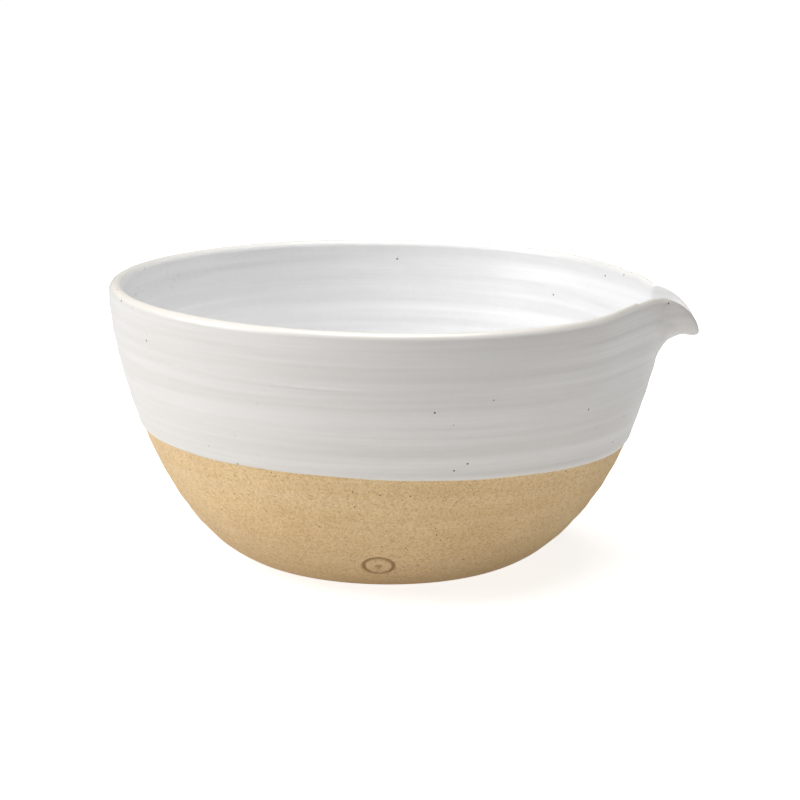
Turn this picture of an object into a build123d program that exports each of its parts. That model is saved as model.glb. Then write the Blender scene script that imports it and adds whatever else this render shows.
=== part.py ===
from build123d import *

import math
import os

# Stoneware mixing bowl with a pulled pouring spout. Millimetres, +Z up.
# The origin is the centre of the flat foot, and the spout points along +X.

# Driving dimensions of the thrown bowl, in bare clay
RIM_RADIUS = 119.4          # outside of the rim
HEIGHT = 119.4              # foot to the top of the rim
FOOT_RADIUS = 48.6          # flat underside
RIM_HALF_THICKNESS = 2.5    # the rim is a full round of this radius
FLOOR_THICKNESS = 8.0
FLOOR_EDGE = 0.1            # the inside curve meets the level floor this much above it
OUTSIDE_CURVE = (1.476, 0.517)   # fullness of the outside: exponents of the wall curve
INSIDE_CURVE = (1.30, 0.22)      # fullness of the inside

# The pulled spout
THROAT_HALF_WIDTH = 15.8    # from the bowl's centre plane to the crest of each shoulder
BEND_START = 27.4           # how far under the rim's centre the wall starts to lean out
BEND_LENGTH = 25.0          # length of wall over which it turns
BEND_ANGLE = 95.0           # how far it turns on the centre plane
LIP_STRETCH = 0.88          # length of the turned lip against the wall it came from
SHOULDER_ROUNDING = 0.1
NOSE_ROUNDING = 0.1
BEAK_SHARPNESS = 2.3        # 2 makes the lip's front a parabola, more makes it blunter
LIP_THINNING = 0.5          # share of the wall's thickness that pulling takes off at the lip
SHOULDER_DROP = 1.9         # how far the rim sags just outside the spout
SHOULDER_DROP_DEPTH = 30.0  # how far under the rim that sag reaches
SHOULDER_DROP_CENTRE = 1.1  # in throat half widths from the centre plane
SHOULDER_DROP_SPREAD = 0.6  # in throat half widths
SPOUT_END = 3.0             # beyond this many throat half widths nothing is pulled
LEAST_TURN = 1e-6           # radians, under which the wall counts as straight

# The rim is squeezed inwards on both sides of the spout
FLANK_SQUEEZE = 7.1
FLANK_HALF_ANGLE = 38.0
FLANK_EDGE = 7              # how abruptly the squeeze ends, as an exponent
SQUEEZE_TOP_DEPTH = 66.0    # how far under the rim the squeeze reaches
THROAT_HALF_ANGLE = 17.5

# Glaze
GLAZE = 0.6                 # thickness of both coats
DIP_LINE = 57.8             # height of the outer coat's lower edge
DIP_TILT = 2.3              # the edge is this much lower at the spout and higher at the back
DIP_EDGE = 4.0              # height over which the coat reaches full thickness

# Seal pressed in the lower wall, facing -Y
SEAL_HEIGHT = 14.8
SEAL_RADIUS = 7.0
SEAL_RING_WIDTH = 1.2
SEAL_RING_DEPTH = 0.8
SEAL_DOT_RADIUS = 1.6
SEAL_DOT_DEPTH = 0.5

# Resolution of the surfaces
COLUMNS = 80                # points round each section, closer together at the spout
COLUMN_CROWDING = 0.88
WALL_ROWS = 20
RIM_ROWS = 6

RIM_CENTRE_HEIGHT = HEIGHT - RIM_HALF_THICKNESS
RIM_CENTRE_RADIUS = RIM_RADIUS - RIM_HALF_THICKNESS


def smoothstep(t):
    t = min(1.0, max(0.0, t))
    return t * t * (3 - 2 * t)


def smooth_ramp(x, rounding):
    """x where it is positive and 0 where it is negative, with a rounded corner."""
    return (x + math.hypot(x, rounding)) / 2


def outside_radius(z):
    """Radius of the clay's outside at height z, up to the rim's centre."""
    a, b = OUTSIDE_CURVE
    rise = 1 - (1 - z / RIM_CENTRE_HEIGHT) ** a
    return FOOT_RADIUS + (RIM_RADIUS - FOOT_RADIUS) * rise ** b


def inside_radius(z, coat):
    """Radius of the inside at height z, from the floor to the rim's centre, over this thickness of coat."""
    a, b = INSIDE_CURVE
    floor = FLOOR_THICKNESS + coat
    rise = 1 - (1 - (z - floor) / (RIM_CENTRE_HEIGHT - floor)) ** a
    return (RIM_RADIUS - 2 * RIM_HALF_THICKNESS - coat) * rise ** b


def across_spout(theta):
    """Distance from the spout's centre plane, where a shoulder's crest is at 1."""
    if math.cos(theta) < 0:
        return math.inf
    return abs(RIM_CENTRE_RADIUS * math.sin(theta) / THROAT_HALF_WIDTH)


def spout_share(theta):
    """1 on the spout's centre plane, falling to 0 at its shoulders."""
    across = across_spout(theta)
    if across > SPOUT_END:
        return 0.0
    power = BEAK_SHARPNESS / 2
    start = NOSE_ROUNDING ** BEAK_SHARPNESS
    fall = (across ** 2 + NOSE_ROUNDING ** 2) ** power - start
    whole = (1 + NOSE_ROUNDING ** 2) ** power - start
    share = smooth_ramp(1 - fall / whole, SHOULDER_ROUNDING) / smooth_ramp(1, SHOULDER_ROUNDING)
    return share * smoothstep(SPOUT_END - across)


def shoulder_drop(theta, z):
    """How far the rim sags just outside the spout's shoulders."""
    beside = math.exp(-((across_spout(theta) - SHOULDER_DROP_CENTRE) / SHOULDER_DROP_SPREAD) ** 2)
    return SHOULDER_DROP * beside * smoothstep((z - RIM_CENTRE_HEIGHT) / SHOULDER_DROP_DEPTH + 1)


def squeeze(theta, z):
    """How far the wall is pressed inwards at this angle and height."""
    degrees = math.degrees(abs(theta))
    around = 1 / (1 + (degrees / FLANK_HALF_ANGLE) ** FLANK_EDGE)
    throat = 1 - math.exp(-(degrees / THROAT_HALF_ANGLE) ** 2)
    return FLANK_SQUEEZE * around * throat * smoothstep((z - RIM_CENTRE_HEIGHT) / SQUEEZE_TOP_DEPTH + 1)


def formed(radius, z, theta):
    """Where a point of the round bowl goes once the spout is pulled."""
    pressed = squeeze(theta, z)
    radius -= pressed
    reach = 0.0
    drop = shoulder_drop(theta, z)
    share = spout_share(theta)
    turn = math.radians(BEND_ANGLE) * share
    hinge = RIM_CENTRE_HEIGHT - BEND_START
    along = z - hinge
    if along > 0 and turn > LEAST_TURN:
        mid_wall = outside_radius(min(z, RIM_CENTRE_HEIGHT)) - RIM_HALF_THICKNESS - pressed
        radius -= (radius - mid_wall) * LIP_THINNING * share * smoothstep(along / BEND_START)
        middle = outside_radius(hinge) - RIM_HALF_THICKNESS
        bend_radius = BEND_LENGTH / turn
        inner = bend_radius - (radius - middle)
        angle = turn * min(1.0, along / BEND_LENGTH)
        straight = max(0.0, along - BEND_LENGTH) * LIP_STRETCH
        reach = middle + bend_radius - inner * math.cos(angle) + straight * math.sin(angle) - radius
        z = hinge + inner * math.sin(angle) + straight * math.cos(angle)
    return Vector(radius * math.cos(theta) + reach, radius * math.sin(theta), z - drop)


def column_angles():
    """Angles of a section's points, from the back round to the back, close together at the spout."""
    steps = [2 * math.pi * i / COLUMNS - math.pi for i in range(COLUMNS)]
    return [t - COLUMN_CROWDING * math.sin(t) for t in steps]


def closed_curve(points):
    parameters = [i / COLUMNS for i in range(COLUMNS + 1)]
    return Wire([Edge.make_spline(points, periodic=True, parameters=parameters)])


def section(row):
    """A closed curve round the bowl. row gives the radius and height at an angle."""
    return closed_curve([formed(*row(theta), theta) for theta in column_angles()])


def sections(rows):
    return [section(row) for row in rows]


def level(radius, z):
    """A row at the same radius and height all round."""
    return lambda theta: (radius, z)


def heights(low, high, count):
    """Heights from low to high, closer together at both ends."""
    return [low + (high - low) * (1 - math.cos(math.pi * i / count)) / 2 for i in range(count + 1)]


def dip_row(theta):
    """The outer coat's lower edge, where it thins out on the clay."""
    z = DIP_LINE - DIP_TILT * math.cos(theta)
    return outside_radius(z), z


def outside_rows(coat, low, high):
    """The outside between these heights, under a coat of this thickness."""
    zs = heights(0, RIM_CENTRE_HEIGHT, WALL_ROWS)
    return [level(outside_radius(z) + coat, z) for z in zs if low <= z <= high]


def coated_rows(coat):
    """The outside from just above the dip line to the rim's centre."""
    return outside_rows(coat, DIP_LINE + DIP_EDGE, RIM_CENTRE_HEIGHT)


def rim_rows(coat):
    """The rim's round edge, from outside to inside, under a coat of this thickness."""
    rows = []
    for i in range(1, RIM_ROWS):
        angle = math.pi * i / RIM_ROWS
        r = RIM_CENTRE_RADIUS + (RIM_HALF_THICKNESS + coat) * math.cos(angle)
        rows.append(level(r, RIM_CENTRE_HEIGHT + (RIM_HALF_THICKNESS + coat) * math.sin(angle)))
    return rows


def inside_rows(coat):
    """The inside from the rim's centre down to the level floor, under a coat of this thickness."""
    floor_edge = FLOOR_THICKNESS + coat + FLOOR_EDGE
    zs = heights(floor_edge, RIM_CENTRE_HEIGHT, WALL_ROWS)
    return [level(inside_radius(z, coat), z) for z in reversed(zs)]


def clay():
    """The fired clay, with the seal pressed into it."""
    outside = outside_rows(0, 0, DIP_LINE - DIP_EDGE) + [dip_row] + coated_rows(0)
    body = Solid.make_loft(sections(outside + rim_rows(0) + inside_rows(0)), ruled=True)
    return body - seal_tool()


def interior_coat():
    """The coat inside, from the floor up to the crest of the rim."""
    half_rim = RIM_ROWS // 2 - 1
    bottom = list(reversed(rim_rows(0)[half_rim:] + inside_rows(0)))
    top = rim_rows(GLAZE)[half_rim:] + inside_rows(GLAZE)
    return Solid.make_loft(sections(bottom + top), ruled=True)


def exterior_coat():
    """The coat outside, from the crest of the rim down to the dip line."""
    half_rim = RIM_ROWS // 2
    under = coated_rows(0) + rim_rows(0)[:half_rim]
    over = coated_rows(GLAZE) + rim_rows(GLAZE)[:half_rim]
    loop = sections([dip_row] + under + list(reversed(over)))
    pairs = zip(loop, loop[1:] + loop[:1])
    strips = [Face.make_surface_from_curves(a.edge(), b.edge()) for a, b in pairs]
    return Solid(Shell(strips))


def seal_tool():
    """What the seal presses away: a plain ring with a dot in its middle."""
    step = 0.01
    slope = (outside_radius(SEAL_HEIGHT + step) - outside_radius(SEAL_HEIGHT - step)) / (2 * step)
    normal = Vector(0, -1, -slope).normalized()
    surface = Vector(0, -outside_radius(SEAL_HEIGHT), SEAL_HEIGHT)
    ring_plane = Plane(surface - normal * SEAL_RING_DEPTH, x_dir=(1, 0, 0), z_dir=normal)
    dot_plane = Plane(surface - normal * SEAL_DOT_DEPTH, x_dir=(1, 0, 0), z_dir=normal)
    ring = Circle(SEAL_RADIUS) - Circle(SEAL_RADIUS - SEAL_RING_WIDTH)
    height = 2 * SEAL_RING_DEPTH
    return extrude(ring_plane * ring, height) + extrude(dot_plane * Circle(SEAL_DOT_RADIUS), height)


def save(part, name):
    part.label = name
    export_step(part, f"parts/{name}.step")
    print(name, f"{part.volume / 1000:.1f} cm3")


os.makedirs("parts", exist_ok=True)
save(interior_coat(), "interior_glaze")
save(exterior_coat(), "exterior_glaze")
save(clay(), "stoneware_body")
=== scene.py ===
import math

import bpy
import numpy as np
from mathutils import Matrix, Vector


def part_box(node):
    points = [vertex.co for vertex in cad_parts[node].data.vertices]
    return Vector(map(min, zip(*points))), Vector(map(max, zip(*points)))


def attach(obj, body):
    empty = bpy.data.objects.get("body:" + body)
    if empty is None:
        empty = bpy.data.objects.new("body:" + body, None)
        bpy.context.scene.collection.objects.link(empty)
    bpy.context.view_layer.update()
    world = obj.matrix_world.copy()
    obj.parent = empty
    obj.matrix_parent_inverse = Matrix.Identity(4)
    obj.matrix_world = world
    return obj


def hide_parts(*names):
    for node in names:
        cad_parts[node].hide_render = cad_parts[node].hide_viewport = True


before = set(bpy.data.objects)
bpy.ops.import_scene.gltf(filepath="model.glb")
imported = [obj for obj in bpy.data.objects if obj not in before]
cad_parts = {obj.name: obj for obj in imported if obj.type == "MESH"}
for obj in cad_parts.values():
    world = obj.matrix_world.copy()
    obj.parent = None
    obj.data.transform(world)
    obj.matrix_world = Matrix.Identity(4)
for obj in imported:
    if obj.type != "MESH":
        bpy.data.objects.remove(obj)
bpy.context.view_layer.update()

MM = 0.001
TURN = 2 * math.pi
ROUND_RIM = 1 / 120         # the angle, in radians, that is 1 mm along the rim
TINY = 1e-12

# Sizes of the bare clay bowl, its rim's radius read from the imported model, and the curves of its wall
RIM_RADIUS = round(-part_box("stoneware_body")[0].x, 4)
HEIGHT = 119.4 * MM
FOOT_RADIUS = 48.6 * MM
RIM_ROUND = 2.5 * MM
FLOOR_THICKNESS = 8 * MM
INSIDE_BEND = 20 * MM       # below this height the inside turns towards the floor
OUTSIDE_CURVE = (1.476, 0.517)
INSIDE_CURVE = (1.30, 0.22)
RIM_CENTRE_HEIGHT = HEIGHT - RIM_ROUND
RIM_CENTRE_RADIUS = RIM_RADIUS - RIM_ROUND

# The pulled spout, along +X
THROAT_HALF_WIDTH = 15.8 * MM
BEND_START = 27.4 * MM
BEND_LENGTH = 25 * MM
BEND_ANGLE = math.radians(95)
LIP_STRETCH = 0.88
LIP_THINNING = 0.5
RIM_THINNING = 0.4          # the rim is thinner where it was squeezed towards the spout
RIM_THINNING_DEPTH = 14 * MM
RIM_THINNING_ANGLE = 0.4    # radians from the spout, where the rim is thinnest
RIM_THINNING_SPREAD = 0.6
SHOULDER_ROUNDING = 0.1
NOSE_ROUNDING = 0.1
BEAK_SHARPNESS = 2.3
SHOULDER_DROP = 1.9 * MM
SHOULDER_DROP_DEPTH = 30 * MM
SHOULDER_DROP_CENTRE = 1.1  # in throat half widths from the centre plane
SHOULDER_DROP_SPREAD = 0.6
SPOUT_END = 3               # beyond this many throat half widths nothing is pulled
FAR_AWAY = 1000             # stands for the back of the bowl, in throat half widths
LEAST_TURN = 1e-6           # radians, under which the wall counts as straight
FLANK_SQUEEZE = 7.1 * MM
FLANK_HALF_ANGLE = math.radians(38)
FLANK_EDGE = 7
SQUEEZE_DEPTH = 66 * MM
THROAT_HALF_ANGLE = math.radians(17.5)
LEAN = 1.0 * MM             # the rim sits this far off the foot's centre, as thrown bowls do
BULGE = 1.1 * MM            # the lower wall on the spout's side is this much fuller
BULGE_HEIGHT = 38 * MM
BULGE_SPREAD = 24 * MM
# Height, number round the bowl, and phase of each wave in the hand-made rim
RIM_WAVES = ((0.16 * MM, 2, 1.0), (0.10 * MM, 3, 2.2), (0.05 * MM, 7, 0))

# Glaze
GLAZE = 0.6 * MM
DIP_LINE = 57.8 * MM
DIP_TILT = 2.3 * MM
DIP_WAVES = ((0.22 * MM, 3, 0.6), (0.14 * MM, 7, 2.1), (0.08 * MM, 17, 0))
GLAZE_EDGE = 1.3 * MM       # height over which the glaze's edge rounds down to the clay
GLAZE_BEAD = 0.12 * MM      # the glaze gathers this much thicker just above its edge
BEAD_HEIGHT = 2.2 * MM
BEAD_SPREAD = 1.5 * MM
EDGE_THINNING = 0.9 * MM    # height over which the lower edge lets the clay's colour through
CREST_BAND = 1.3            # how quickly the glaze thins towards the rim's crest
HIDDEN_OVERLAP = 0.2 * MM   # a coat's back lies this far inside the clay

# Throwing rings
RING_SPACING = 10 * MM
RING_START = 8.5 * MM
RING_DEPTH = 0.1 * MM
RING_STRENGTH = 0.75        # their usual strength, and how much it varies along and up the wall
RING_STRENGTH_WAVES = (0.35, 0.2)
RING_STRENGTH_HEIGHTS = (13 * MM, 7 * MM)
RING_WANDER = 0.25          # radians by which a ring strays from its spiral
FINE_RING_DEPTHS = (0.28, 0.13)     # finer rings among them, against their depth
FINE_RINGS = (2.37, 5.1)            # how many of them there are to each ring
FINE_RING_WANDER = 0.6
INSIDE_RING_SHARE = 1.15    # the inside's rings are this much deeper
MARKS_FADE = 5 * MM         # distance from the rim over which the marks fade out
FLOOR_MARKS_FADE = 9 * MM
FOOT_MARKS_FADE = 12 * MM
EDGE_MARKS_FADE = 2 * MM    # these three are the same from the floor, the foot and the glaze's edge
GROOVE_DEPTH = 0.34 * MM
GROOVE_HALF_WIDTH = 0.6 * MM
GROOVE_FADES = (5, 4)       # how quickly it starts and ends
GROOVE_LIP = 0.45           # height of the clay pushed up beside it, against its depth
GROOVE_LIP_PLACE = (1.7, 1.1)       # that lip's centre and spread, in half widths
GROOVE_FROM = (math.radians(-160), 98.5 * MM)
GROOVE_TO = (math.radians(-88), 96 * MM)

# Seal: a plain ring with a dot, pressed in the clay
SEAL_ANGLE = math.radians(-91.3)
SEAL_HEIGHT = 14.8 * MM
SEAL_RADIUS = 7 * MM
SEAL_RING_WIDTH = 1.6 * MM
SEAL_RING_DEPTH = 0.9 * MM
SEAL_DOT_RADIUS = 1.6 * MM
SEAL_DOT_DEPTH = 0.6 * MM
SEAL_RING_EDGE = (1.4, 0.8)         # where the ring's soft edge ends and how wide it is, in half widths
SEAL_DOT_EDGE = (1.2, 0.45)         # the same for the dot, in its radius


# ---------------------------------------------------------------- the form

def smoothstep(t):
    t = np.clip(t, 0.0, 1.0)
    return t * t * (3 - 2 * t)


def smooth_ramp(x, rounding):
    """x where it is positive and 0 where it is negative, with a rounded corner."""
    return (x + np.hypot(x, rounding)) / 2


def bump(x):
    """A bell curve: 1 at 0, falling away on both sides."""
    return np.exp(-x * x)


def near_rim(z, depth):
    """1 from the rim's centre up, falling to 0 this far under it."""
    return smoothstep((z - RIM_CENTRE_HEIGHT) / depth + 1)


def waves(theta, parts):
    """The sum of several waves round the bowl, each with a height, a number and a phase."""
    return sum(height * np.sin(number * theta + phase) for height, number, phase in parts)


def outside_radius(z):
    """Radius of the clay's outside at height z."""
    a, b = OUTSIDE_CURVE
    rise = 1 - np.clip(1 - z / RIM_CENTRE_HEIGHT, 0, 1) ** a
    return FOOT_RADIUS + (RIM_RADIUS - FOOT_RADIUS) * rise ** b


def inside_radius(z, coat):
    """Radius of the inside at height z, over this thickness of coat."""
    a, b = INSIDE_CURVE
    floor = FLOOR_THICKNESS + coat
    rise = 1 - np.clip(1 - (z - floor) / (RIM_CENTRE_HEIGHT - floor), 0, 1) ** a
    return (RIM_RADIUS - 2 * RIM_ROUND - coat) * rise ** b


def across_spout(theta):
    """Distance from the spout's centre plane, where a shoulder's crest is at 1."""
    across = np.abs(RIM_CENTRE_RADIUS * np.sin(theta) / THROAT_HALF_WIDTH)
    return np.where(np.cos(theta) > 0, across, FAR_AWAY)


def spout_share(theta):
    """1 on the spout's centre plane, falling to 0 at its shoulders."""
    across = across_spout(theta)
    power = BEAK_SHARPNESS / 2
    start = NOSE_ROUNDING ** BEAK_SHARPNESS
    fall = (across ** 2 + NOSE_ROUNDING ** 2) ** power - start
    whole = (1 + NOSE_ROUNDING ** 2) ** power - start
    share = smooth_ramp(1 - fall / whole, SHOULDER_ROUNDING) / smooth_ramp(1, SHOULDER_ROUNDING)
    return share * smoothstep(SPOUT_END - across)


def squeeze(theta, z):
    """How far the wall is pressed inwards on both sides of the spout."""
    angle = np.abs(theta)
    around = 1 / (1 + (angle / FLANK_HALF_ANGLE) ** FLANK_EDGE)
    throat = 1 - bump(angle / THROAT_HALF_ANGLE)
    return FLANK_SQUEEZE * around * throat * near_rim(z, SQUEEZE_DEPTH)


def rim_lift(theta, z):
    """What is added to the height: the rim isn't quite level, and it sags beside the spout's shoulders."""
    beside = bump((across_spout(theta) - SHOULDER_DROP_CENTRE) / SHOULDER_DROP_SPREAD)
    drop = SHOULDER_DROP * beside * near_rim(z, SHOULDER_DROP_DEPTH)
    return waves(theta, RIM_WAVES) * near_rim(z, SQUEEZE_DEPTH) - drop


def rim_thinning(theta, z):
    """The share of the rim's thickness that is missing, on its inner side."""
    flank = bump((np.abs(theta) - RIM_THINNING_ANGLE) / RIM_THINNING_SPREAD)
    return RIM_THINNING * flank * near_rim(z, RIM_THINNING_DEPTH)


def formed(radius, z, theta):
    """Where points of the round bowl go once the spout is pulled."""
    radius, z, theta = np.broadcast_arrays(radius, z, theta)
    pressed = squeeze(theta, z)
    inward = np.maximum(outside_radius(z) - radius, 0)
    radius = radius + inward * rim_thinning(theta, z) - pressed
    share = spout_share(theta)
    turn = np.maximum(BEND_ANGLE * share, LEAST_TURN)
    hinge = RIM_CENTRE_HEIGHT - BEND_START
    along = np.maximum(z - hinge, 0)
    mid_wall = outside_radius(z) - RIM_ROUND - pressed
    radius = radius - (radius - mid_wall) * LIP_THINNING * share * smoothstep(along / BEND_START)
    middle = outside_radius(hinge) - RIM_ROUND
    bend_radius = BEND_LENGTH / turn
    inner = bend_radius - (radius - middle)
    angle = turn * np.minimum(1, along / BEND_LENGTH)
    straight = np.maximum(0, along - BEND_LENGTH) * LIP_STRETCH
    bent_radius = middle + bend_radius - inner * np.cos(angle) + straight * np.sin(angle)
    bent_z = hinge + inner * np.sin(angle) + straight * np.cos(angle)
    is_bent = (z > hinge) & (turn > 2 * LEAST_TURN)
    reach = np.where(is_bent, bent_radius - radius, 0)
    fuller = BULGE * bump((z - BULGE_HEIGHT) / BULGE_SPREAD) * smoothstep(np.cos(theta))
    x = radius * np.cos(theta) + reach + fuller - LEAN * (1 - z / HEIGHT)
    return np.stack([x, radius * np.sin(theta), np.where(is_bent, bent_z, z) + rim_lift(theta, z)], -1)


# ---------------------------------------------------------------- the potter's marks

def throwing_rings(theta, z, start):
    """Shallow rings that wind down the wall in a spiral, uneven in depth."""
    phase = TURN * ((z - start) / RING_SPACING + (theta + math.pi / 2) / TURN)
    slow, quick = RING_STRENGTH_WAVES
    slow_height, quick_height = RING_STRENGTH_HEIGHTS
    strength = RING_STRENGTH + slow * np.sin(2 * theta + z / slow_height)
    strength += quick * np.sin(5 * theta - z / quick_height + 1)
    coarse = np.cos(phase + RING_WANDER * np.sin(3 * theta + 1))
    fine = FINE_RING_DEPTHS[0] * np.sin(FINE_RINGS[0] * phase + 1.3 + FINE_RING_WANDER * np.sin(3 * theta))
    finest = FINE_RING_DEPTHS[1] * np.sin(FINE_RINGS[1] * phase + theta)
    return RING_DEPTH * strength * (coarse + fine + finest)


def groove(theta, z):
    """One scratch left by a fingertip, that fades out at both ends."""
    along = (theta - GROOVE_FROM[0]) / (GROOVE_TO[0] - GROOVE_FROM[0])
    line = GROOVE_FROM[1] + (GROOVE_TO[1] - GROOVE_FROM[1]) * along
    fade = smoothstep(along * GROOVE_FADES[0]) * smoothstep((1 - along) * GROOVE_FADES[1])
    across = (z - line) / GROOVE_HALF_WIDTH
    lip_centre, lip_spread = GROOVE_LIP_PLACE
    lip = GROOVE_LIP * bump((across - lip_centre) / lip_spread)
    return GROOVE_DEPTH * fade * (lip - bump(across))


def soft_edge(distance, edge):
    """1 inside an edge and 0 outside it. edge is where it ends and how wide it is."""
    end, width = edge
    return smoothstep((end - distance) / width)


def seal(points):
    """Depth pressed into the clay's lower wall."""
    slope = (outside_radius(SEAL_HEIGHT + MM) - outside_radius(SEAL_HEIGHT - MM)) / (2 * MM)
    centre = formed(outside_radius(SEAL_HEIGHT), SEAL_HEIGHT, SEAL_ANGLE)
    upward = np.array([slope * math.cos(SEAL_ANGLE), slope * math.sin(SEAL_ANGLE), 1])
    upward /= np.linalg.norm(upward)
    sideways = np.array([-math.sin(SEAL_ANGLE), math.cos(SEAL_ANGLE), 0])
    offset = points - centre
    distance = np.hypot(offset @ upward, offset @ sideways)
    ring = (distance - SEAL_RADIUS + SEAL_RING_WIDTH / 2) / (SEAL_RING_WIDTH / 2)
    dot = distance / SEAL_DOT_RADIUS
    near = points[..., 1] < 0
    pressed = SEAL_RING_DEPTH * soft_edge(np.abs(ring), SEAL_RING_EDGE)
    pressed += SEAL_DOT_DEPTH * soft_edge(dot, SEAL_DOT_EDGE)
    return np.where(near, pressed, 0)


# ---------------------------------------------------------------- meshes

COLUMN_GROWTH = 0.15        # how quickly columns widen away from a finer zone


def columns(spacing, *zones):
    """Angles all the way round, this far apart, and closer in each zone of (centre, half angle, spacing)."""
    angles = [-math.pi]
    while angles[-1] < math.pi:
        here = angles[-1]
        step = spacing
        for centre, half, fine in zones:
            beyond = max(0.0, abs(here - centre) - half)
            step = min(step, fine + beyond * COLUMN_GROWTH)
        angles.append(here + step)
    scale = TURN / (angles[-1] - angles[0])
    return -math.pi + (np.array(angles[:-1]) + math.pi) * scale


def heights(low, high, step):
    """Even heights from one to the other, about this far apart."""
    return np.linspace(low, high, max(2, int(round(abs((high - low) / step))) + 1))


def bend_heights(floor, count):
    """Heights down the inside's tight bend, closer together towards the floor."""
    return floor + (INSIDE_BEND - floor) * np.linspace(1, 0, count)[1:-1] ** 2


def normals_of(rows):
    """Unit normals of a closed ring of rows, pointing out of the solid."""
    along = np.roll(rows, -1, 0) - np.roll(rows, 1, 0)
    around = np.roll(rows, -1, 1) - np.roll(rows, 1, 1)
    n = np.cross(around, along)
    return n / np.maximum(np.linalg.norm(n, axis=-1, keepdims=True), TINY)


def paint(piece, name, values):
    """Store a number for each point, which the piece's material reads by this name."""
    layer = piece.data.attributes.new(name, "FLOAT", "POINT")
    layer.data.foreach_set("value", np.ascontiguousarray(values).ravel())


def ring_mesh(name, rows, seams=(), closed=False):
    """A mesh from rows of points round the bowl. Not closed, its first and last rows are filled flat."""
    count, around = rows.shape[:2]
    index = np.arange(count * around).reshape(count, around)
    last = count if closed else count - 1
    low = index[np.arange(last)]
    high = index[np.arange(1, last + 1) % count]
    quads = np.stack([low, np.roll(low, -1, 1), np.roll(high, -1, 1), high], -1).reshape(-1, 4)
    faces = quads.tolist()
    if not closed:
        faces += [index[0][::-1].tolist(), index[-1].tolist()]
    mesh = bpy.data.meshes.new(name)
    mesh.from_pydata(rows.reshape(-1, 3).tolist(), [], faces)
    mesh.polygons.foreach_set("use_smooth", [True] * len(mesh.polygons))
    ends = np.zeros(len(mesh.edges) * 2, np.int32)
    mesh.edges.foreach_get("vertices", ends)
    row_of = ends.reshape(-1, 2) // around
    on_seam = (row_of[:, 0] == row_of[:, 1]) & np.isin(row_of[:, 0], seams)
    sharp = mesh.attributes.new("sharp_edge", "BOOLEAN", "EDGE")
    sharp.data.foreach_set("value", on_seam)
    mesh.validate()
    mesh.update()
    piece = bpy.data.objects.new(name, mesh)
    bpy.context.scene.collection.objects.link(piece)
    return piece


# ---------------------------------------------------------------- pieces

# Centre, half angle and spacing of the finer columns at the seal, and the first two at the spout
SEAL_ZONE = (SEAL_ANGLE, 0.11, 0.45 * ROUND_RIM)
SPOUT_ZONE = (0, 0.15)

# Radius and height, in mm, of the slightly hollow foot
FOOT_PROFILE = ((0.3, 0.5), (20, 0.5), (40, 0.5), (46.5, 0.35), (47.6, 0.1))
FOOT_EDGE = 0.45 * MM       # how far the foot's corner is rounded in
SEAL_ROWS = (6.3 * MM, 23 * MM)     # the finest rows are at the seal
CLAY_SHOWS = 62 * MM        # the clay is finely modelled up to here, a little above the dip line
HIDDEN_ROW = 4 * MM         # spacing of the rows that the glaze hides
HIDDEN_ARC = 0.3            # radians left out at each end of the clay's rim, under the glaze
FLOOR_CENTRE = 0.3 * MM     # radius at which the clay's floor closes


def dip_line(theta):
    """Height of the outer coat's lower edge, which wanders a little."""
    return DIP_LINE - DIP_TILT * np.cos(theta) + waves(theta, DIP_WAVES)


def crest_thinning(z):
    """1 on the crest of the rim, where the glaze drained off while it was wet, and 0 a little below it."""
    return smoothstep(1 - CREST_BAND * (HEIGHT + GLAZE - z) / (HEIGHT + GLAZE - RIM_CENTRE_HEIGHT))


def rim_arc(coat, start, end, count):
    """Radii and heights round the rim between two angles, over this thickness of coat."""
    angle = np.linspace(start, end, count)
    r = RIM_CENTRE_RADIUS + (RIM_ROUND + coat) * np.cos(angle)
    z = RIM_CENTRE_HEIGHT + (RIM_ROUND + coat) * np.sin(angle)
    return r, z


def clay():
    """The fired clay: bare below the dip line, and under the glaze above it."""
    theta = columns(2.6 * ROUND_RIM, SEAL_ZONE, (*SPOUT_ZONE, 1.4 * ROUND_RIM))[None, :]
    foot_r, foot_z = np.array(FOOT_PROFILE).T * MM
    wall_z = np.concatenate([
        [0.0, 0.03 * MM],
        heights(0.15 * MM, 6 * MM, 0.5 * MM),
        heights(*SEAL_ROWS, 0.3 * MM),
        heights(24 * MM, CLAY_SHOWS, MM),
        heights(65 * MM, RIM_CENTRE_HEIGHT, 3 * MM),
    ])
    wall_r = outside_radius(wall_z)
    wall_r[0] -= FOOT_EDGE
    arc_r, arc_z = rim_arc(0, HIDDEN_ARC, math.pi - HIDDEN_ARC, 7)
    hidden_z = heights(RIM_CENTRE_HEIGHT, INSIDE_BEND, HIDDEN_ROW)
    in_z = np.concatenate([hidden_z, bend_heights(FLOOR_THICKNESS, 24)])
    r = np.concatenate([foot_r, wall_r, arc_r, inside_radius(in_z, 0), [20 * MM, FLOOR_CENTRE]])
    z = np.concatenate([foot_z, wall_z, arc_z, in_z, [FLOOR_THICKNESS, FLOOR_THICKNESS]])
    rows = formed(r[:, None], z[:, None], theta)
    outside = ((np.arange(len(z)) > len(foot_r)) & (z < CLAY_SHOWS))[:, None]
    pressed = np.where(outside, seal(rows), 0)
    rings = throwing_rings(theta, z[:, None], RING_START) * smoothstep(z[:, None] / FOOT_MARKS_FADE)
    rows += normals_of(rows) * (np.where(outside, rings, 0) - pressed)[..., None]
    piece = ring_mesh("stoneware", rows)
    # the seal's depth, which the clay's material turns into painted shade in the recess
    paint(piece, "pressed", pressed / SEAL_RING_DEPTH)
    return piece


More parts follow.
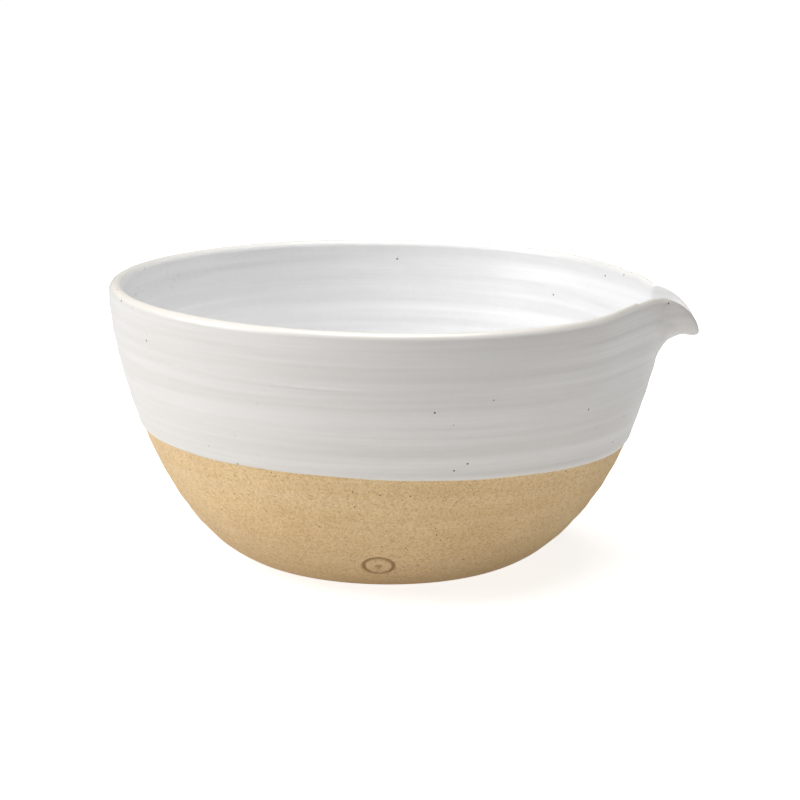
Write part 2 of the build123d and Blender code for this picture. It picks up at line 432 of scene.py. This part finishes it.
def exterior_coat():
    """The glaze outside, from its rounded lower edge up to the crest of the rim."""
    theta = columns(1.75 * ROUND_RIM, (*SPOUT_ZONE, 0.55 * ROUND_RIM))[None, :]
    low = dip_line(theta)
    edge = (1 - np.cos(np.linspace(0, math.pi / 2, 9)))[:, None] * GLAZE_EDGE
    z_edge = low + edge
    thick = GLAZE * np.sqrt(1 - (1 - edge / GLAZE_EDGE) ** 2)
    r_edge = outside_radius(z_edge) + thick
    share = np.linspace(0, 1, 132)[1:, None]
    z_wall = (low + GLAZE_EDGE) * (1 - share) + RIM_CENTRE_HEIGHT * share
    r_wall = outside_radius(z_wall) + GLAZE
    arc_r, arc_z = (np.repeat(a[1:, None], theta.size, 1) for a in rim_arc(GLAZE, 0, math.pi / 2, 17))
    back_share = np.linspace(1, 0, 16)[:, None]
    z_back = low * (1 - back_share) + RIM_CENTRE_HEIGHT * back_share
    r_back = outside_radius(z_back) - HIDDEN_OVERLAP
    cap_r = np.full((1, theta.size), RIM_CENTRE_RADIUS)
    cap_z = np.full((1, theta.size), HEIGHT - HIDDEN_OVERLAP)
    r = np.concatenate([r_edge, r_wall, arc_r, cap_r, r_back])
    z = np.concatenate([z_edge, z_wall, arc_z, cap_z, z_back])
    crest = len(r_edge) + len(r_wall) + len(arc_r) - 1
    rows = formed(r, z, theta)
    above = z - low
    marks = throwing_rings(theta, z, RING_START) + groove(theta, z)
    marks += GLAZE_BEAD * bump((above - BEAD_HEIGHT) / BEAD_SPREAD)
    marks *= smoothstep(above / EDGE_MARKS_FADE) * smoothstep((RIM_CENTRE_HEIGHT + MM - z) / MARKS_FADE)
    marks[crest + 1:] = 0
    rows += normals_of(rows) * marks[..., None]
    piece = ring_mesh("glaze_outside", rows, seams=(crest, crest + 1, len(r) - 1, 0), closed=True)
    paint(piece, "thin", np.maximum(smoothstep(1 - above / EDGE_THINNING), crest_thinning(z)))
    return piece


def interior_coat():
    """The glaze inside, from the crest of the rim down to the floor."""
    theta = columns(2.1 * ROUND_RIM, (*SPOUT_ZONE, 0.7 * ROUND_RIM))[None, :]
    arc_r, arc_z = rim_arc(GLAZE, math.pi / 2, math.pi, 17)
    floor = FLOOR_THICKNESS + GLAZE
    in_z = np.concatenate([heights(RIM_CENTRE_HEIGHT, INSIDE_BEND, MM)[1:], bend_heights(floor, 36)])
    in_r = inside_radius(in_z, GLAZE)
    floor_r = in_r[-1] * np.linspace(1, 0, 18)[1:-1]
    floor_z = np.full(len(floor_r), in_z[-1])
    hidden_z = heights(FLOOR_THICKNESS + MM, RIM_CENTRE_HEIGHT, HIDDEN_ROW)
    hidden_r = inside_radius(hidden_z, -HIDDEN_OVERLAP)
    back_r, back_z = rim_arc(-HIDDEN_OVERLAP, math.pi, math.pi / 2, 6)
    r = np.concatenate([arc_r, in_r, floor_r, [0.4 * MM, 2 * MM], hidden_r, back_r])
    centre_z = [in_z[-1], FLOOR_THICKNESS - HIDDEN_OVERLAP]
    z = np.concatenate([arc_z, in_z, floor_z, centre_z, hidden_z, back_z])
    shown = len(arc_r) + len(in_r)
    rows = formed(r[:, None], z[:, None], theta)
    marks = INSIDE_RING_SHARE * throwing_rings(theta, z[:, None], 0)
    fade = smoothstep((RIM_CENTRE_HEIGHT - z) / MARKS_FADE) * smoothstep((z - floor) / FLOOR_MARKS_FADE)
    marks *= fade[:, None]
    marks[shown:] = 0
    rows += normals_of(rows) * marks[..., None]
    piece = ring_mesh("glaze_inside", rows, seams=(0, len(r) - 1), closed=True)
    paint(piece, "thin", np.broadcast_to(crest_thinning(z)[:, None], rows.shape[:2]))
    return piece


# ---------------------------------------------------------------- materials

# Colours of the glaze, in linear RGB
THIN_GLAZE = (0.68, 0.63, 0.55)     # where the clay shows through
IRON_SPECK = (0.11, 0.07, 0.045)
IRON_HALO = (0.62, 0.53, 0.42)
PINHOLE = (0.55, 0.46, 0.36)

# Colours of the clay
BUFF_DEEP = (0.79, 0.545, 0.265)
BUFF_PALE = (0.87, 0.625, 0.32)
TURNING_BAND = (0.88, 0.66, 0.385)
SAND = (0.62, 0.41, 0.20)
PALE_GRAIN = (0.96, 0.80, 0.56)
DARK_GRAIN = (0.44, 0.26, 0.115)
SMALL_SPECK = (0.22, 0.13, 0.065)
LARGE_SPECK = (0.13, 0.08, 0.045)
# painted shade: the seal's pressed ring and dot are darkened towards this colour by their depth
SEAL_PAINTED_SHADE = (0.34, 0.20, 0.10)

# Paper floor
PAPER_DARK = (0.64, 0.64, 0.64)
PAPER_PALE = (0.66, 0.66, 0.66)
FLOOR_GLOW = 0.21           # what the floor throws back on the bowl
FLOOR_GLOW_NEAR = 0.8       # what the camera sees round the foot, dim enough for a soft contact shadow
FLOOR_GLOW_FAR = 1.0
FLOOR_FADE = (0.15, 0.6)    # distances between which it goes from the near glow to the far one


class Nodes:
    """A new material, with short ways to add the nodes that it needs."""

    def __init__(self, name):
        self.material = bpy.data.materials.new(name)
        self.material.use_nodes = True
        self.tree = self.material.node_tree
        self.shader = self.tree.nodes["Principled BSDF"]
        self.position = self.add("ShaderNodeTexCoord").outputs["Object"]

    def add(self, kind, **settings):
        node = self.tree.nodes.new(kind)
        for key, value in settings.items():
            setattr(node, key, value)
        return node

    def put(self, socket, value):
        """Link a socket to another, or set it to a plain value."""
        if isinstance(value, bpy.types.NodeSocket):
            self.tree.links.new(value, socket)
        else:
            socket.default_value = value

    def stretched(self, flat, upright):
        """Positions scaled by these, so that patterns run in bands round the bowl when upright is more."""
        node = self.add("ShaderNodeMapping")
        self.put(node.inputs["Vector"], self.position)
        node.inputs["Scale"].default_value = (flat, flat, upright)
        return node.outputs["Vector"]

    def noise(self, vector, scale, detail=3.0, roughness=0.5):
        """Cloudy noise. scale is in clouds to a metre of the vector's space."""
        node = self.add("ShaderNodeTexNoise")
        self.put(node.inputs["Vector"], vector)
        node.inputs["Scale"].default_value = scale
        node.inputs["Detail"].default_value = detail
        node.inputs["Roughness"].default_value = roughness
        return node.outputs["Fac"]

    def spots(self, spacing, radius, softness):
        """1 inside scattered round spots and 0 outside. Each spot is a slice of a ball of this radius."""
        node = self.add("ShaderNodeTexVoronoi")
        self.put(node.inputs["Vector"], self.position)
        node.inputs["Scale"].default_value = 1 / spacing
        return self.fade(node.outputs["Distance"], radius / spacing, (radius - softness) / spacing)

    def fade(self, value, start, end, low=0.0, high=1.0):
        """A value's smooth change from low to high, between start and end."""
        node = self.add("ShaderNodeMapRange", interpolation_type="SMOOTHSTEP")
        for socket, number in zip(node.inputs[:5], (value, start, end, low, high)):
            self.put(socket, number)
        return node.outputs["Result"]

    def math(self, operation, a, b):
        """The result of one operation on two numbers or sockets."""
        node = self.add("ShaderNodeMath", operation=operation)
        self.put(node.inputs[0], a)
        self.put(node.inputs[1], b)
        return node.outputs[0]

    def mix(self, share, a, b, blend="MIX"):
        """Colour a where share is 0, and colour b where it is 1."""
        node = self.add("ShaderNodeMix", data_type="RGBA", blend_type=blend)
        self.put(node.inputs["Factor"], share)
        colours = [s for s in node.inputs if s.type == "RGBA"]
        for socket, colour in zip(colours, (a, b)):
            self.put(socket, colour if isinstance(colour, bpy.types.NodeSocket) else (*colour, 1))
        return [s for s in node.outputs if s.type == "RGBA"][0]

    def bump(self, height, distance, under=None):
        """Fine relief this deep, on top of the relief under it."""
        node = self.add("ShaderNodeBump")
        node.inputs["Distance"].default_value = distance
        self.put(node.inputs["Height"], height)
        if under is not None:
            self.put(node.inputs["Normal"], under)
        return node.outputs["Normal"]


def white_glaze(name, pale, deep, streaks, specks):
    """Satin white glaze: greyer streaks along the rings, iron specks, and pinholes."""
    n = Nodes(name)
    bands = n.noise(n.stretched(5, 190), 1, detail=4, roughness=0.6)
    patches = n.noise(n.stretched(14, 45), 1, detail=3)
    clouds = n.noise(n.position, 420, detail=2)
    colour = n.mix(n.fade(bands, 0.35, 0.68), deep, pale)
    colour = n.mix(n.fade(patches, 0.4, 0.75, 0, streaks), colour, deep)
    colour = n.mix(n.fade(clouds, 0.45, 0.8, 0, 0.25), colour, pale)
    thin = n.add("ShaderNodeAttribute", attribute_name="thin").outputs["Fac"]
    colour = n.mix(n.math("MULTIPLY", thin, n.fade(bands, 0.3, 0.6, 0.25, 0.5)), colour, THIN_GLAZE)
    halo = n.spots(specks, 0.9 * MM, 0.8 * MM)
    colour = n.mix(n.math("MULTIPLY", halo, 0.18), colour, IRON_HALO)
    colour = n.mix(n.spots(specks, 0.55 * MM, 0.25 * MM), colour, IRON_SPECK)
    colour = n.mix(n.spots(3.1 * MM, 0.13 * MM, 0.06 * MM), colour, PINHOLE)
    n.put(n.shader.inputs["Base Color"], colour)
    rough = n.math("ADD", n.fade(patches, 0.3, 0.7, 0.30, 0.42), n.fade(clouds, 0.3, 0.7, -0.03, 0.05))
    n.put(n.shader.inputs["Roughness"], rough)
    n.shader.inputs["IOR"].default_value = 1.5
    n.shader.inputs["Coat Weight"].default_value = 0.12
    n.shader.inputs["Coat Roughness"].default_value = 0.12
    normal = n.bump(n.noise(n.stretched(20, 420), 1, detail=3), 0.10 * MM)
    normal = n.bump(n.noise(n.position, 260, detail=2), 0.05 * MM, under=normal)
    normal = n.bump(n.noise(n.position, 1500, detail=1), 0.012 * MM, under=normal)
    n.put(n.shader.inputs["Normal"], normal)
    return n.material


def bare_stoneware():
    """Dry buff stoneware: sandy grain, turning bands, dark grains, and painted shade darkening the seal's
    recess.
    """
    n = Nodes("bare_stoneware")
    cloud = n.noise(n.position, 38, detail=4)
    bands = n.noise(n.stretched(6, 330), 1, detail=4, roughness=0.6)
    grain = n.noise(n.position, 1250, detail=2, roughness=0.7)
    sand = n.noise(n.position, 620, detail=3, roughness=0.6)
    colour = n.mix(n.fade(cloud, 0.3, 0.7), BUFF_DEEP, BUFF_PALE)
    colour = n.mix(n.fade(bands, 0.35, 0.7, 0, 0.55), colour, TURNING_BAND)
    colour = n.mix(n.fade(sand, 0.42, 0.72, 0, 0.55), colour, SAND)
    colour = n.mix(n.fade(grain, 0.54, 0.74, 0, 0.85), colour, PALE_GRAIN)
    colour = n.mix(n.fade(grain, 0.45, 0.28, 0, 0.7), colour, DARK_GRAIN)
    colour = n.mix(n.spots(2.6 * MM, 0.22 * MM, 0.1 * MM), colour, SMALL_SPECK)
    colour = n.mix(n.spots(5.2 * MM, 0.42 * MM, 0.2 * MM), colour, LARGE_SPECK)
    pressed = n.add("ShaderNodeAttribute", attribute_name="pressed").outputs["Fac"]
    # painted shade: the seal's recess is darkened by its depth
    colour = n.mix(n.fade(pressed, 0.15, 1.0, 0, 0.75), colour, SEAL_PAINTED_SHADE)
    n.put(n.shader.inputs["Base Color"], colour)
    n.put(n.shader.inputs["Roughness"], n.fade(sand, 0.3, 0.7, 0.82, 0.95))
    n.shader.inputs["Specular IOR Level"].default_value = 0.3
    n.shader.inputs["Sheen Weight"].default_value = 0.12
    n.shader.inputs["Sheen Roughness"].default_value = 0.6
    normal = n.bump(n.noise(n.stretched(12, 700), 1, detail=3), 0.14 * MM)
    normal = n.bump(sand, 0.16 * MM, under=normal)
    normal = n.bump(grain, 0.12 * MM, under=normal)
    n.put(n.shader.inputs["Normal"], normal)
    return n.material


def paper_floor():
    """Pale paper. It glows a little, and more to the camera, as an overexposed studio floor does."""
    n = Nodes("paper_floor")
    fibre = n.noise(n.position, 60, detail=3)
    n.put(n.shader.inputs["Base Color"], n.mix(fibre, PAPER_DARK, PAPER_PALE))
    n.shader.inputs["Roughness"].default_value = 0.9
    n.shader.inputs["Specular IOR Level"].default_value = 0.2
    n.shader.inputs["Emission Color"].default_value = (1, 1, 1, 1)
    distance = n.add("ShaderNodeVectorMath", operation="LENGTH")
    n.put(distance.inputs[0], n.position)
    glow = n.fade(distance.outputs["Value"], *FLOOR_FADE, FLOOR_GLOW_NEAR, FLOOR_GLOW_FAR)
    seen = n.add("ShaderNodeLightPath").outputs["Is Camera Ray"]
    n.put(n.shader.inputs["Emission Strength"], n.fade(seen, 0, 1, FLOOR_GLOW, glow))
    return n.material


buff = bare_stoneware()
outside_white = white_glaze(
    "white_glaze_outside", pale=(0.86, 0.84, 0.81), deep=(0.79, 0.765, 0.73), streaks=0.3, specks=9.5 * MM)
inside_white = white_glaze(
    "white_glaze_inside", pale=(0.89, 0.89, 0.89), deep=(0.82, 0.82, 0.82), streaks=0.5, specks=13 * MM)

for piece, node, slot, material in (
    (clay(), "stoneware_body", "bare_stoneware", buff),
    (exterior_coat(), "exterior_glaze", "white_glaze", outside_white),
    (interior_coat(), "interior_glaze", "white_glaze", inside_white),
):
    piece.data.materials.append(material)
    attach(piece, "root")
    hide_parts(node)


# ---------------------------------------------------------------- camera, floor and light

CAMERA_TARGET = Vector((5.2 * MM, 0, 68.0 * MM))
CAMERA_DISTANCE = 1.2
CAMERA_ELEVATION = math.radians(12.22)
CAMERA_ROLL = math.radians(0.77)
CAMERA_LENS = 124.6         # mm, on a sensor this wide
CAMERA_SENSOR = 36
FLOOR_SIZE = 40
LIGHT_TARGET = Vector((0, 0, 70 * MM))
BACKDROP = 1.0              # how bright the plain backdrop is, as the camera sees it

# name: azimuth, elevation, distance, size, power
LIGHTS = {
    "key_left": (-75, 35, 1.6, 0.9, 12.4),
    "low_left": (-60, 4, 1.6, 0.7, 2.6),
    "overhead": (0, 88, 1.6, 1.2, 31),
    "front_right": (35, 25, 1.6, 0.9, 0.4),
    "right": (95, 20, 1.6, 0.9, 0.6),
}


def add_camera():
    camera = bpy.data.objects.new("camera", bpy.data.cameras.new("camera"))
    bpy.context.scene.collection.objects.link(camera)
    camera.data.lens = CAMERA_LENS
    camera.data.sensor_width = CAMERA_SENSOR
    back = Vector((0, -math.cos(CAMERA_ELEVATION), math.sin(CAMERA_ELEVATION)))
    camera.matrix_world = (
        Matrix.Translation(CAMERA_TARGET + back * CAMERA_DISTANCE)
        @ Matrix.Rotation(math.pi / 2 - CAMERA_ELEVATION, 4, "X")
        @ Matrix.Rotation(CAMERA_ROLL, 4, "Z")
    )
    bpy.context.scene.camera = camera


def add_floor():
    bpy.ops.mesh.primitive_plane_add(size=FLOOR_SIZE)
    floor = bpy.context.object
    floor.name = "floor"
    floor.data.materials.append(paper_floor())


def soft_light(name, azimuth, elevation, distance, size, power):
    """A square soft box that faces the bowl. Azimuth 0 is at the camera's side, and 90 is at the spout's."""
    light = bpy.data.objects.new(name, bpy.data.lights.new(name, "AREA"))
    bpy.context.scene.collection.objects.link(light)
    light.data.size = size
    light.data.energy = power
    around, up = math.radians(azimuth), math.radians(elevation)
    direction = Vector((math.sin(around) * math.cos(up), -math.cos(around) * math.cos(up), math.sin(up)))
    light.location = LIGHT_TARGET + direction * distance
    light.rotation_euler = direction.to_track_quat("Z", "Y").to_euler()


def add_backdrop():
    """A white surround that the camera sees, and that throws no light of its own on the bowl."""
    world = bpy.data.worlds.new("studio")
    bpy.context.scene.world = world
    world.use_nodes = True
    background = world.node_tree.nodes["Background"]
    background.inputs["Color"].default_value = (1, 1, 1, 1)
    path = world.node_tree.nodes.new("ShaderNodeLightPath")
    strength = world.node_tree.nodes.new("ShaderNodeMath")
    strength.operation = "MULTIPLY"
    strength.inputs[1].default_value = BACKDROP
    world.node_tree.links.new(path.outputs["Is Camera Ray"], strength.inputs[0])
    world.node_tree.links.new(strength.outputs[0], background.inputs["Strength"])


add_camera()
add_floor()
for light_name, settings in LIGHTS.items():
    soft_light(light_name, *settings)
add_backdrop()
bpy.context.scene.view_settings.view_transform = "Standard"
